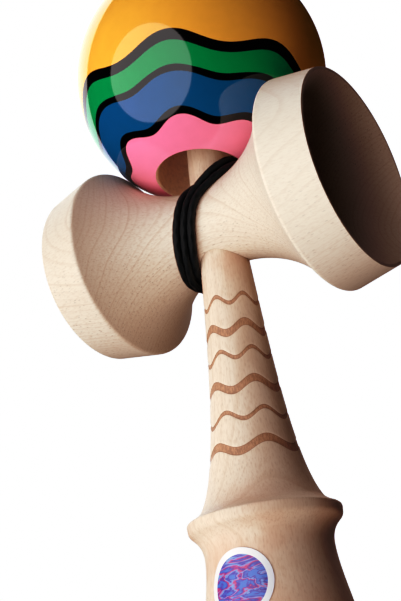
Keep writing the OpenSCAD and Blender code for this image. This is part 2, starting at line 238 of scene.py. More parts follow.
class KendamaSettings(bpy.types.PropertyGroup):
    """All the settings of the kendama."""

    string: PointerProperty(type=StringSettings)
    handle: PointerProperty(type=HandleSettings)
    cross: PointerProperty(type=CrossSettings)
    ball: PointerProperty(type=BallSettings)
    bead: PointerProperty(type=BeadSettings)
    sticker: PointerProperty(type=StickerSettings)
    stage: PointerProperty(type=StageSettings)


class Sizes:
    """The lengths of a group of settings, in millimetres."""

    def __init__(self, settings):
        self.settings = settings

    def __getattr__(self, name):
        return getattr(self.settings, name) / MM


# Curves and surfaces


def eased(t):
    """Smooth step from 0 to 1: three t squared less two t cubed, held at its ends."""
    t = np.clip(t, 0, 1)
    return t * t * (3 - 2 * t)


def unit(v):
    """Vectors of length one."""
    return v / np.linalg.norm(v, axis=-1, keepdims=True)


def guided(a, b, c, d, steps):
    """Cubic curve from a to d with the guide points b and c."""
    a, b, c, d = (np.asarray(p, float) for p in (a, b, c, d))
    t = np.linspace(0, 1, steps + 1)[:, None]
    u = 1 - t
    return u**3 * a + 3 * u**2 * t * b + 3 * u * t**2 * c + t**3 * d


def rounded(a, p, b, r, steps=6):
    """The corner p between a and b, rounded by a curve that starts and ends r from it."""
    a, p, b = (np.asarray(q, float) for q in (a, p, b))
    start, end = p + r * unit(a - p), p + r * unit(b - p)
    return guided(start, (start + 2 * p) / 3, (end + 2 * p) / 3, end, steps)


def bowl(mouth_r, depth, steps=40):
    """Arc of a sphere from a bowl's middle, depth deep, out to its mouth at height 0."""
    r = (mouth_r**2 + depth**2) / (2 * depth)
    t = np.linspace(0, np.arcsin(mouth_r / r), steps + 1)
    return np.column_stack([r * np.sin(t), depth - r + r * np.cos(t)])


def joined(*parts):
    """Outlines one after the other, without the points that repeat the one before."""
    line = np.vstack([np.atleast_2d(p) for p in parts])
    fresh = np.linalg.norm(np.diff(line, axis=0), axis=1) > SAME
    return line[np.append(True, fresh)]


def run_of(line):
    """Length along a line at each of its points."""
    return np.append(0, np.cumsum(np.linalg.norm(np.diff(line, axis=0), axis=1)))


def at_run(line, places):
    """Points of a line at the given lengths along it."""
    run = run_of(line)
    return np.column_stack([np.interp(places, run, line[:, k]) for k in range(line.shape[1])])


def finer(line, step):
    """The line with points added on its long stretches, so that all are at most a step apart."""
    run = run_of(line)
    counts = np.ceil(np.diff(run) / step).astype(int)
    first = np.cumsum(counts) - counts
    order = np.arange(counts.sum()) - np.repeat(first, counts)
    places = np.repeat(run[:-1], counts) + order * np.repeat(np.diff(run) / counts, counts)
    return at_run(line, np.append(places, run[-1]))


def turned(outline, columns=COLUMNS):
    """Outline of radius and height carried round Z, from the front (-Y) towards the right (+X)."""
    turn = np.linspace(0, 2 * np.pi, columns, endpoint=False)
    r, h = outline[:, :1], outline[:, 1:]
    return np.stack([r * np.sin(turn), -r * np.cos(turn), h + 0 * turn], axis=-1)


def upright(points):
    """A shape turned about Z, left as it is."""
    return points


def about_x(points):
    """A shape turned about Z, laid on the cross piece's middle with its height along X."""
    return points[..., [2, 0, 1]] + CROSS_MIDDLE


def about_y(points):
    """A shape turned about Z, laid on the cross piece's middle with its height along Y."""
    return points[..., [1, 2, 0]] + CROSS_MIDDLE


def about_ball(points):
    """A shape turned about Z, set on the ball's own axis."""
    return (BALL_MIDDLE + points[..., :1] * BALL_RIGHT + points[..., 1:2] * BALL_BACK
            + points[..., 2:] * BALL_UP)


def skin(name, points, ring=False, start=None, end=None):
    """Closed quad mesh on a grid of rows by columns, whose columns go all the way round.

    A ring also joins its last row to its first; otherwise each end is closed by a fan on a point.
    """
    rows, columns = points.shape[:2]
    index = np.arange(rows * columns).reshape(rows, columns)
    index = np.hstack([index, index[:, :1]])
    if ring:
        index = np.vstack([index, index[:1]])
    faces = np.stack([index[:-1, :-1], index[:-1, 1:], index[1:, 1:], index[1:, :-1]], -1)
    faces = faces.reshape(-1, 4).tolist()
    corners = points.reshape(-1, 3)
    if not ring:
        corners = np.vstack([corners, start, end])
        first = np.full(columns, rows * columns)
        faces += np.stack([first, index[0, 1:], index[0, :-1]], -1).tolist()
        faces += np.stack([index[-1, :-1], index[-1, 1:], first + 1], -1).tolist()
    mesh = bpy.data.meshes.new(name)
    mesh.from_pydata((corners * MM).tolist(), [], faces)
    mesh.shade_smooth()
    piece = bpy.data.objects.new(name, mesh)
    bpy.context.scene.collection.objects.link(piece)
    return piece


def solid(name, outline, lay=upright, columns=COLUMNS):
    """A turned solid: the outline's two end points lie on the axis and close it."""
    points = lay(turned(outline, columns))
    return skin(name, points[1:-1], start=points[0, 0], end=points[-1, 0])


def mark(piece, name, values):
    """Keeps one number for each point of a piece, for its material to read."""
    layer = piece.data.attributes.new(name, "FLOAT", "POINT")
    layer.data.foreach_set("value", np.asarray(values, np.float32).ravel())


def corners_of(piece):
    """The points of a piece in millimetres."""
    flat = np.empty(3 * len(piece.data.vertices), np.float32)
    piece.data.vertices.foreach_get("co", flat)
    return flat.reshape(-1, 3).astype(float) / MM


def carve(piece, *cutters):
    """Cuts solids out of a piece and takes the cutters away."""
    for cutter in cutters:
        cut = piece.modifiers.new("carve", "BOOLEAN")
        cut.operation, cut.solver, cut.object = "DIFFERENCE", "EXACT", cutter
    whole = piece.evaluated_get(bpy.context.evaluated_depsgraph_get())
    old, piece.data = piece.data, bpy.data.meshes.new_from_object(whole)
    piece.modifiers.clear()
    name = old.name
    bpy.data.meshes.remove(old)
    piece.data.name = name
    for cutter in cutters:
        mesh = cutter.data
        bpy.data.objects.remove(cutter)
        bpy.data.meshes.remove(mesh)


def place(piece, body, slot, nodes, *materials, sharp=None):
    """Gives a piece its materials and its body if it has one, and hides the solids it stands for; its
    slot is not used.
    """
    if sharp is not None:
        piece.data.set_sharp_from_angle(angle=np.radians(sharp))
    piece.data.materials.clear()
    for material in materials:
        piece.data.materials.append(material)
    if body:
        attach(piece, body)
    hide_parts(*nodes)


# Finishes


class Finish:
    """A material's node tree, with a short call for each kind of node or sum."""

    def __init__(self, name, **constants):
        self.material = bpy.data.materials.new(name)
        self.material.use_nodes = True
        self.tree = self.material.node_tree
        self.tree.nodes.clear()
        self.shader = self.tree.nodes.new("ShaderNodeBsdfPrincipled")
        self.output = self.tree.nodes.new("ShaderNodeOutputMaterial")
        self.tree.links.new(self.shader.outputs[0], self.output.inputs[0])
        for key, value in constants.items():
            self.shader.inputs[key.replace("_", " ")].default_value = value

    def node(self, kind, inputs, **settings):
        """A node with its settings, and with a value or a link on each named input."""
        node = self.tree.nodes.new("ShaderNode" + kind)
        for key, value in settings.items():
            setattr(node, key, value)
        for key, value in inputs.items():
            self.put(node.inputs[key], value)
        return node

    def put(self, socket, value):
        """Links an output to a socket, or sets the socket's own value."""
        if isinstance(value, bpy.types.NodeSocket):
            self.tree.links.new(value, socket)
        else:
            socket.default_value = value

    def spot(self):
        """Object coordinates in millimetres."""
        where = self.node("TexCoord", {}).outputs["Object"]
        return self.node("VectorMath", {0: where, 3: 1 / MM}, operation="SCALE").outputs[0]

    def along(self, spot, direction):
        """How far a spot lies along a direction."""
        dot = self.node("VectorMath", {0: spot, 1: tuple(direction)}, operation="DOT_PRODUCT")
        return dot.outputs["Value"]

    def vector(self, x, y, z):
        """A vector of three values."""
        return self.node("CombineXYZ", {0: x, 1: y, 2: z}).outputs[0]

    def vectors(self, operation, a, b):
        """One sum on two vectors."""
        return self.node("VectorMath", {0: a, 1: tuple(b)}, operation=operation).outputs[0]

    def size(self, vector):
        """Length of a vector."""
        return self.node("VectorMath", {0: vector}, operation="LENGTH").outputs["Value"]

    def math(self, operation, *values):
        """One sum on plain values."""
        return self.node("Math", dict(enumerate(values)), operation=operation).outputs[0]

    def plus(self, a, b):
        """Two values added."""
        return self.math("ADD", a, b)

    def times(self, a, b):
        """Two values multiplied."""
        return self.math("MULTIPLY", a, b)

    def rest(self, value):
        """One less a value."""
        return self.math("SUBTRACT", 1.0, value)

    def far(self, a, b):
        """Distance of a place that lies a one way and b across it."""
        return self.math("SQRT", self.plus(self.math("POWER", a, 2.0), self.math("POWER", b, 2.0)))

    def step(self, value, low, high):
        """Smooth step of a value from 0 at low to 1 at high, which may also be the lower one."""
        inputs = {"Value": value, "From Min": low, "From Max": high}
        return self.node("MapRange", inputs, interpolation_type="SMOOTHSTEP").outputs[0]

    def spread(self, value, low, high):
        """A value from 0 to 1 spread from low to high."""
        return self.node("MapRange", {"Value": value, "To Min": low, "To Max": high}).outputs[0]

    def noise(self, vector, scale=1.0, detail=2.0, roughness=0.5, distortion=0.0):
        """Cloudy noise at a place."""
        inputs = {"Vector": vector, "Scale": scale, "Detail": detail, "Roughness": roughness,
                  "Distortion": distortion}
        return self.node("TexNoise", inputs).outputs["Fac"]

    def kept(self, name):
        """The number that a piece keeps for each of its points."""
        return self.node("Attribute", {}, attribute_name=name).outputs["Fac"]

    def mix(self, share, a, b):
        """Colour a with a share of colour b."""
        a, b = (c if isinstance(c, bpy.types.NodeSocket) else (*c, 1) for c in (a, b))
        return self.node("Mix", {0: share, 6: a, 7: b}, data_type="RGBA").outputs[2]

    def ramp(self, value, stops, kind="LINEAR"):
        """Colours along a value, each from its own place."""
        node = self.node("ValToRGB", {0: value})
        band = node.color_ramp
        band.interpolation = kind
        while len(band.elements) < len(stops):
            band.elements.new(1.0)
        for element, (position, _) in zip(band.elements, stops):
            element.position = position
        for element, (_, rgb) in zip(band.elements, stops):
            element.color = (*rgb, 1)
        return node.outputs[0]

    def show(self, rgb, roughness=None, height=None, strength=0.1, distance=0.0001):
        """Puts the colour, the roughness and the relief on the shader."""
        self.put(self.shader.inputs["Base Color"], rgb)
        if roughness is not None:
            self.put(self.shader.inputs["Roughness"], roughness)
        if height is not None:
            inputs = {"Height": height, "Strength": strength, "Distance": distance}
            self.put(self.shader.inputs["Normal"], self.node("Bump", inputs).outputs[0])
        return self.material


def darker(rgb, share):
    """A share of a colour."""
    return tuple(share * c for c in rgb)


# Wood: scales are across and along the fibre, in turns for each millimetre, and limits are where a
# mark starts to show and where it is full
SWAY_SCALE, SWAY = (0.06, 0.028), (-1.5, 1.5)
LATE_LIMITS, LATE_END = (0.60, 0.92), (0.94, 1.0)
# The weakest growth line's share of the strongest
WEAK_LINE = 0.3
STREAK_SCALE, STREAK_LIMITS, STREAK_SHARE = (2.4, 0.10), (0.42, 0.78), 0.30
TICK_SCALE, TICK_LIMITS, TICK_CHOICE = (2.1, 0.55), (0.12, 0.34), (0.25, 0.70)
TICK_SIDES, TICK_TONE = (0.4, 0.97), 0.62
FLECK_SCALE, FLECK_LIMITS, FLECK_SHARE = (2.8, 0.75), (0.46, 0.72), 0.45
CLOUD_SCALE, CLOUD_SHARES = (0.09, 0.03), (-0.10, 0.42)
WOOD_ROUGHNESS = (0.46, 0.62)
LATE_RELIEF = 0.6


def maple(finish, middle, fibre, layer_way, bend, spacing, light, line, line_share, tick_shares):
    """Colour, roughness and relief of sanded maple.

    Growth layers are circles about a line along the fibre, bend away from the middle against
    layer_way, one for each spacing, swayed by slow noise; each ends in a thin dark line of its own
    strength. Fine streaks, flecks and short ticks run along the fibre. The ticks have the second of
    their shares on the sides that face across the layers and the first share elsewhere.
    """
    fibre, layer_way = unit(np.array(fibre, float)), unit(np.array(layer_way, float))
    spot = finish.vectors("SUBTRACT", finish.spot(), middle)
    ways = (layer_way, np.cross(fibre, layer_way), fibre)
    n, t, a = (finish.along(spot, way) for way in ways)

    def stretched(scale):
        """The place with one scale across the fibre and one along it."""
        across, along = scale
        return finish.vector(finish.times(n, across), finish.times(t, across), finish.times(a, along))

    sway = finish.spread(finish.noise(stretched(SWAY_SCALE), detail=1.0), *SWAY)
    layer = finish.math("DIVIDE", finish.plus(finish.far(finish.plus(n, bend), t), sway), spacing)
    part = finish.math("FRACT", layer)
    late = finish.times(finish.step(part, *LATE_LIMITS), finish.rest(finish.step(part, *LATE_END)))
    number = finish.math("FLOOR", layer)
    own = finish.node("TexWhiteNoise", {"W": number}, noise_dimensions="1D").outputs["Value"]
    late = finish.times(late, finish.spread(own, WEAK_LINE * line_share, line_share))
    streak = finish.noise(stretched(STREAK_SCALE), detail=4.0, roughness=0.6)
    streak = finish.step(streak, *STREAK_LIMITS)
    fleck = finish.step(finish.noise(stretched(FLECK_SCALE)), *FLECK_LIMITS)
    cells = finish.node("TexVoronoi", {"Vector": stretched(TICK_SCALE), "Scale": 1.0})
    tick = finish.rest(finish.step(cells.outputs["Distance"], *TICK_LIMITS))
    chosen = finish.node("SeparateColor", {0: cells.outputs["Color"]}).outputs[0]
    tick = finish.times(tick, finish.step(chosen, *TICK_CHOICE))
    # A hundredth of a millimetre keeps the division safe on the axis
    side = finish.math("DIVIDE", finish.math("ABSOLUTE", t), finish.plus(finish.far(n, t), 0.01))
    tick = finish.times(tick, finish.spread(finish.step(side, *TICK_SIDES), *tick_shares))
    cloud = finish.spread(finish.noise(stretched(CLOUD_SCALE)), *CLOUD_SHARES)
    tone = finish.mix(cloud, light, line)
    tone = finish.mix(late, tone, line)
    tone = finish.mix(finish.times(streak, STREAK_SHARE), tone, line)
    tone = finish.mix(finish.times(fleck, FLECK_SHARE), tone, line)
    tone = finish.mix(tick, tone, darker(line, TICK_TONE))
    height = finish.plus(streak, finish.times(late, LATE_RELIEF))
    return tone, finish.spread(streak, *WOOD_ROUGHNESS), height


# Heights between which the handle's reddish clouds come in, above the grip and at its foot
FLUSH_ABOVE, FLUSH_BELOW, FLUSH_LIMITS, FLUSH_SHARE = (66.0, 86.0), (36.0, 28.0), (0.36, 0.72), 0.4
# Distance inside a burnt line, in millimetres: where it starts, and how far its dark outline goes
BURN_LIMITS, BURN_OUTLINE = (-0.05, 0.05), (0.04, 0.26)
BURN_DARK, OUTLINE_SHARE = 0.45, 0.7
HATCH_SCALE, HATCH_LIMITS, HATCH_SHARE = (3.4, 3.4, 0.8), (0.40, 0.62), 0.6


def handle_finish(settings):
    """Maple with its fibres up the handle, burnt brown where the wavy lines are cut."""
    finish = Finish("handle_maple", Specular_IOR_Level=0.35)
    tone, roughness, height = maple(
        finish, middle=(0, 0, 0), fibre=(0, 0.012, 1), layer_way=(0.75, -0.66, 0), bend=34,
        spacing=2.3, light=settings.light, line=settings.line, line_share=0.4,
        tick_shares=(0.24, 0.28),
    )
    spot = finish.spot()
    z = finish.along(spot, (0, 0, 1))
    ends = finish.plus(finish.step(z, *FLUSH_ABOVE), finish.step(z, *FLUSH_BELOW))
    cloud = finish.step(finish.noise(spot, scale=0.10, detail=3.0), *FLUSH_LIMITS)
    cloud = finish.times(finish.times(cloud, ends), FLUSH_SHARE)
    tone = finish.mix(cloud, tone, settings.flush)
    groove = finish.kept("groove")
    hatch = finish.noise(finish.vectors("MULTIPLY", spot, HATCH_SCALE), detail=3.0, roughness=0.7)
    hatch = finish.times(finish.step(hatch, *HATCH_LIMITS), HATCH_SHARE)
    outline = finish.times(finish.rest(finish.step(groove, *BURN_OUTLINE)), OUTLINE_SHARE)
    dark = darker(settings.burn, BURN_DARK)
    burnt = finish.mix(outline, finish.mix(hatch, settings.burn, dark), dark)
    tone = finish.mix(finish.step(groove, *BURN_LIMITS), tone, burnt)
    return finish.show(tone, roughness, height, strength=0.12)


# Painted light that makes the big cup's band paler: where it lies along the cross piece and out from
# its axis, in millimetres
BIG_BAND_LIGHT_ALONG, BIG_BAND_LIGHT_OUT, BIG_BAND_LIGHT_SHARE = (24.5, 28.0), (22.6, 23.2), 0.36


def cross_finish(settings):
    """Maple with its fibres along the cross piece, with painted light that makes the big cup's band
    paler.
    """
    finish = Finish("cross_piece_maple", Specular_IOR_Level=0.35)
    tone, roughness, height = maple(
        finish, middle=CROSS_MIDDLE, fibre=(1, 0, 0.01), layer_way=(0.02, -0.94, 0.34), bend=52,
        spacing=1.05, light=settings.light, line=settings.line, line_share=0.55,
        tick_shares=(0.16, 0.6),
    )
    spot = finish.vectors("SUBTRACT", finish.spot(), CROSS_MIDDLE)
    along = finish.along(spot, RIGHT)
    out = finish.size(finish.vectors("MULTIPLY", spot, (0, 1, 1)))
    band = finish.times(finish.step(along, *BIG_BAND_LIGHT_ALONG), finish.step(out, *BIG_BAND_LIGHT_OUT))
    # Painted light: the band is mixed towards the paler colour
    tone = finish.mix(finish.times(band, BIG_BAND_LIGHT_SHARE), tone, settings.band)
    return finish.show(tone, roughness, height, strength=0.12)


# Latitude of each edge between two bands of the ball's lower half, and rise of its waves, in degrees
BAND_EDGES = np.array([
    (-54.9, 2.6), (-51.5, 2.4), (-36.9, 2.4), (-34.1, 1.9), (-25.0, 2.9), (-19.8, 3.4),
])
# Turn of a wave's low from the front, in degrees
BAND_LOW_TURN = -5
# The painted bands and the hole's mouth lean a little off the string's hole
PAINT_UP = np.array([0.0349, 0.1718, 0.9845])


def lacquer_finish(settings):
    """Gloss lacquer in bands; each point keeps where it lies between the ball's two poles."""
    finish = Finish("band_lacquer", Roughness=0.06, Specular_IOR_Level=0.85,
                    Specular_Tint=(0.78, 0.98, 1.0, 1))
    black = settings.black
    lower = [settings.pink, black, settings.blue, black, settings.green, black]
    starts = [-90, *BAND_EDGES[:, 0]]
    edges = [*zip(starts, lower + [settings.orange]), *zip(-BAND_EDGES[::-1, 0], lower[::-1])]
    stops = [((edge + 90) / 180, rgb) for edge, rgb in edges]
    bands = finish.ramp(finish.kept("band"), stops, "CONSTANT")
    spot = finish.spot()
    brush = finish.noise(spot, scale=0.35, detail=3.0)
    bands = finish.mix(finish.spread(brush, 0.0, 0.10), bands, black)
    ripple = finish.noise(spot, scale=0.12, detail=1.0)
    return finish.show(bands, height=ripple, strength=0.05, distance=0.0004)


def bare_hole_finish(settings):
    """Unpainted end grain of the hole, with rings left by the drill, in a colour raised as painted
    light in the shaded hole.
    """
    finish = Finish("drilled_wood", Specular_IOR_Level=0.25)
    spot = finish.spot()
    up = finish.along(spot, BALL_UP)
    rings = finish.noise(finish.vector(0.0, 0.0, up), scale=3.0, detail=3.0)
    fibres = finish.noise(spot, scale=0.9, detail=4.0, roughness=0.65)
    dark = darker(settings.bare, 0.78)
    tone = finish.mix(finish.step(fibres, 0.35, 0.75), settings.bare, dark)
    tone = finish.mix(finish.spread(rings, 0.0, 0.35), tone, dark)
    return finish.show(tone, finish.spread(fibres, 0.6, 0.8), rings, strength=0.25)


def string_finish(settings):
    """Black braid: each point keeps how high its strand stands there, and the colour is painted shade
    in the valleys and painted sheen on the crests.
    """
    finish = Finish("black_braid", Specular_IOR_Level=0.3, Specular_Tint=(0.7, 0.95, 1.0, 1))
    fuzz = finish.noise(finish.spot(), scale=6.0, detail=3.0, roughness=0.7)
    tone = finish.mix(finish.kept("braid"), settings.dark, settings.painted_sheen)
    tone = finish.mix(finish.times(fuzz, 0.35), tone, settings.dark)
    return finish.show(tone, finish.spread(fuzz, 0.4, 0.65), fuzz, strength=0.2)


def bead_finish(settings):
    """Small turned bead of darker wood with growth lines across it."""
    finish = Finish("bead_wood", Specular_IOR_Level=0.3)
    tone, roughness, height = maple(
        finish, middle=BALL_MIDDLE, fibre=BALL_UP, layer_way=RIGHT, bend=12, spacing=1.1,
        light=settings.wood, line=darker(settings.wood, 0.5), line_share=0.8, tick_shares=(0.1, 0.3),
    )
    return finish.show(tone, roughness, height, strength=0.15)


# The sticker's marbling is stretched sideways, and its colours follow each other at these places
MARBLE_SCALE = (0.6, 1.0, 1.9)
MARBLE_STOPS = {0.36: "blue", 0.43: "violet", 0.48: "sky", 0.53: "pink", 0.58: "violet", 0.65: "blue"}


def sticker_finish(settings):
    """Gloss vinyl: a white border round blue, violet and pink marbling."""
    finish = Finish("marbled_vinyl", Roughness=0.28, Coat_Weight=0.3, Coat_Roughness=0.1)
    spot = finish.spot()
    flat = finish.vectors("MULTIPLY", spot, MARBLE_SCALE)
    swirl = finish.noise(flat, scale=0.16, detail=3.0, distortion=2.2)
    stops = [(position, getattr(settings, name)) for position, name in MARBLE_STOPS.items()]
    grain = finish.noise(spot, scale=3.0)
    print_tone = finish.mix(finish.spread(grain, 0.0, 0.15), finish.ramp(swirl, stops), settings.pale)
    paper = finish.mix(finish.spread(grain, 0.0, 0.12), settings.paper, settings.pale)
    inside = finish.step(finish.kept("inset"), -0.03, 0.03)
    return finish.show(finish.mix(inside, paper, print_tone), height=grain, strength=0.05)


# String: its winding and its free route, as in the part's source

# Angle round the neck (0 front, 90 top, 180 back), then three shares: place along the neck (of
# PASS_HIGH, or of PASS_LOW where negative), spread (of the pitch) and rise of the middle turn
LANE_SHARES = np.array([
    (-90, -1.06, 0.60, 0.50), (-75, -1.00, 0.66, 0.40), (-60, -0.80, 0.88, 0.20),
    (-30, -0.52, 1.00, 0), (0, -0.29, 0.98, 0), (25, -0.12, 1.15, 0),
    (42, 0.15, 1.70, 0.30), (55, 0.60, 1.20, 0.90), (67, 0.95, 0.75, 1.05),
    (82, 1.05, 0.52, 1.05), (95, 1.04, 0.55, 1.05), (110, 0.97, 0.95, 0.65),
    (124, 0.78, 1.45, 0), (150, 0.08, 1.60, 0), (180, -0.50, 1.40, 0),
    (215, -0.90, 1.15, 0.20), (245, -1.06, 0.80, 0.85), (270, -1.06, 0.60, 0.50),
])
# In degrees: how far the shares are softened, how long one turn takes to pass over to the next lane,
# where the lead comes in, and where the winding starts and ends
LANE_REACH, LANE_SAMPLES, LANE_FALL = 12, 9, 0.9
CHANGE_REACH = 100
LEAD_START, LEAD_REACH = 205, 60
WIND_START, WIND_END, WIND_STEP = 218, 1248, 6.0
# How far the winding passes from the handle's axis below and above, and the step between its turns
PASS_LOW, PASS_HIGH, PITCH = 7.725, 7.475, 1.95
# The solid's string, which the winding's middle line is worked out from, and its room on the neck
CAD_STRING_D, STRING_LIFT = 1.5, 0.2
ROOT_KNOT_Y = 4.8
# Least bend of the string, over two of its diameters
LEAST_BEND, BEND_POINTS = 3.9, 7
# Steps between the route's points, then the step and the softening of the finished line
ROUTE_STEPS, LINE_STEP, LINE_REACH = 10, 0.25, 0.7
# Mean height of the braid over its radius, as a share of its relief
BRAID_MEAN = 0.4
FREE_ROUTE = np.array([
    (-8.8, 12.8, 94), (-8.8, 12.9, 89), (-8.8, 12.9, 82), (-8.8, 12.9, 75), (-8.9, 13.1, 69.6),
    (-9.5, 14.2, 66.5), (-11, 16.7, 65.2), (-12.5, 19.2, 66.5), (-13.1, 20.3, 69.6),
    (-13.1, 20.6, 75), (-12.9, 21, 82), (-12.2, 21.8, 89), (-11.2, 23.1, 96), (-9.7, 25.1, 104),
    (-7.9, 27.7, 112), (-5.7, 30.7, 120), (-3.4, 33.4, 128), (-1.7, 35, 135), (-0.8, 35.1, 142),
    (-0.6, 33.2, 149.8), (-0.6, 29.6, 157), (-0.6, 25.4, 162), (-0.6, 21.2, 165.1),
    (-0.6, 17.4, 167.3), (-0.6, 14.6, 168.6),
])
# How far the string passes over the ball from its middle, before it bends into the top hole
OVER_BALL = 31.4
# Heights on the ball's axis: at its bead's seat and at the bead's knot
IN_BALL_RISES = np.array([23.9, 16.516])
# The bead is made first and strung on the string
BEAD_NAME = "bead_turned"


def lane_share(column, angle):
    """Share read from the table at an angle, softened over the angles close by."""
    near = np.linspace(-1, 1, LANE_SAMPLES)
    weights = 1 - LANE_FALL * np.abs(near)
    angles = (np.asarray(angle)[:, None] + LANE_REACH * near + 90) % 360 - 90
    return np.interp(angles, LANE_SHARES[:, 0], LANE_SHARES[:, column]) @ weights / weights.sum()


def wound(angle, cross):
    """Points of the winding at angles that count on from turn to turn.

    The place along the neck is the lane's own place plus the turn's side of the bundle, and the
    radius is the neck's there plus half the string and the rise of the middle turn.
    """
    turn = np.floor((angle - 180) / 360 + 0.5)
    side = 2 - turn - eased((angle - 180 - 360 * turn) / CHANGE_REACH + 0.5)
    lane = lane_share(1, angle)
    x = np.where(lane > 0, PASS_HIGH, PASS_LOW) * lane + side * PITCH * lane_share(2, angle)
    x = x * eased((angle - LEAD_START) / LEAD_REACH)
    rise = PITCH * lane_share(3, angle) * eased(1 - np.abs(side))
    r = neck_at(x, cross) + STRING_LIFT + CAD_STRING_D / 2 + rise
    a = np.radians(angle)
    return np.column_stack([x, -r * np.cos(a), CROSS_Z + r * np.sin(a)])


def smooth_line(points, steps):
    """Curve through points; at each one it runs along the line between its two neighbours."""
    a = np.vstack([points[:1], points[:-2]])[:, None]
    b, c = points[:-1, None], points[1:, None]
    d = np.vstack([points[2:], points[-1:]])[:, None]
    t = (np.arange(steps) / steps)[None, :, None]
    curve = b + ((c - a) * t + (2 * a - 5 * b + 4 * c - d) * t**2 + (3 * b - a - 3 * c + d) * t**3) / 2
    return np.vstack([curve.reshape(-1, 3), points[-1:]])


def softened(line, step, reach):
    """Line at even steps, each point the bell-weighted mean of those within its reach."""
    count = int(run_of(line)[-1] / step)
    even = at_run(line, np.linspace(0, run_of(line)[-1], count + 1))
    side = int(3 * reach / step)
    bell = np.exp(-0.5 * (np.arange(-side, side + 1) * step / reach) ** 2)
    before = 2 * even[:1] - even[side:0:-1]
    after = 2 * even[-1:] - even[-2:-side - 2:-1]
    padded = np.vstack([before, even, after])
    return np.column_stack([np.convolve(padded[:, k], bell / bell.sum(), "valid") for k in range(3)])


def bend_inside(round_r):
    """Arc from a line through a circle's middle to the circle, as places along the line and off it.

    The arc leaves the line sideways and ends on the circle, running the way the circle runs there.
    """
    along = np.sqrt((round_r - LEAST_BEND) ** 2 - LEAST_BEND**2)
    turn = np.linspace(0, np.pi / 2 + np.arctan2(LEAST_BEND, along), BEND_POINTS)
    return np.column_stack([along + LEAST_BEND * np.sin(turn), LEAST_BEND * (1 - np.cos(turn))])


def string_line(cross):
    """The string's middle line from its root knot to the bead's knot."""
    root = CROSS_MIDDLE + (0, ROOT_KNOT_Y, 0)
    lead = bend_inside(cross.neck_d / 2 + STRING_LIFT + CAD_STRING_D / 2)
    lead = CROSS_MIDDLE + np.column_stack([0 * lead[:, 0], lead[:, 0], -lead[:, 1]])
    turns = wound(np.arange(WIND_START, WIND_END + 1, WIND_STEP), cross)
    last = FREE_ROUTE[0] + (0, 0, CAD_STRING_D)
    over = bend_inside(OVER_BALL)[::-1]
    over = BALL_MIDDLE + over[:, :1] * BALL_UP + over[:, 1:] * BALL_BACK
    ends = BALL_MIDDLE + IN_BALL_RISES[:, None] * BALL_UP
    route = np.vstack([root, lead, turns, last, FREE_ROUTE, over, ends])
    return softened(smooth_line(route, ROUTE_STEPS), LINE_STEP, LINE_REACH)


def tube(name, line, radius, sides, strands, pitch, relief, ring=False):
    """Round braid along a line: the radius swells where one of two crossing helices passes.

    Each ring of points stands across the line, and is turned from the X direction.
    """
    ahead = np.roll(line, -1, 0) - np.roll(line, 1, 0) if ring else np.gradient(line, axis=0)
    ahead = unit(ahead)
    out = unit(np.cross(ahead, (1.0, 0.0, 0.0)))
    beside = np.cross(ahead, out)
    turn = np.linspace(0, 2 * np.pi, sides, endpoint=False)
    twist = 2 * np.pi * run_of(line)[:, None] / pitch
    braid = np.maximum(np.cos(strands / 2 * turn + twist), np.cos(strands / 2 * turn - twist))
    r = radius * (1 + relief * (braid - BRAID_MEAN))
    across = np.cos(turn)[:, None] * out[:, None] + np.sin(turn)[:, None] * beside[:, None]
    points = line[:, None] + r[..., None] * across
    height = (braid + 1) / 2
    if ring:
        piece = skin(name, points, ring=True)
    else:
        piece = skin(name, points, start=line[0], end=line[-1])
        height = np.append(height, [0.5, 0.5])
    # The strand's height, which the string's colour turns into painted shade and painted sheen
    mark(piece, "braid", height)
    return piece


# Outlines of the turned pieces


# Guide points of the handle's curves, as shares of the widths and heights between their ends
BASE_GUIDE, WAIST_GUIDE = (0.6, 0.43), 0.75
UNDER_RISE, UNDER_GUIDE = 0.6, (0.30, 0.17)
RING_TOP_GUIDES = ((0.55, 0.75), (0.10, 0.25))
GRIP_GUIDES = ((0.37, 0.86), (0.20, 0.44))
TIP_RISE, TIP_OUT = 0.4, 0.6
# Room round the handle where it is pressed into the cross piece
PRESS_ROOM = 0.03


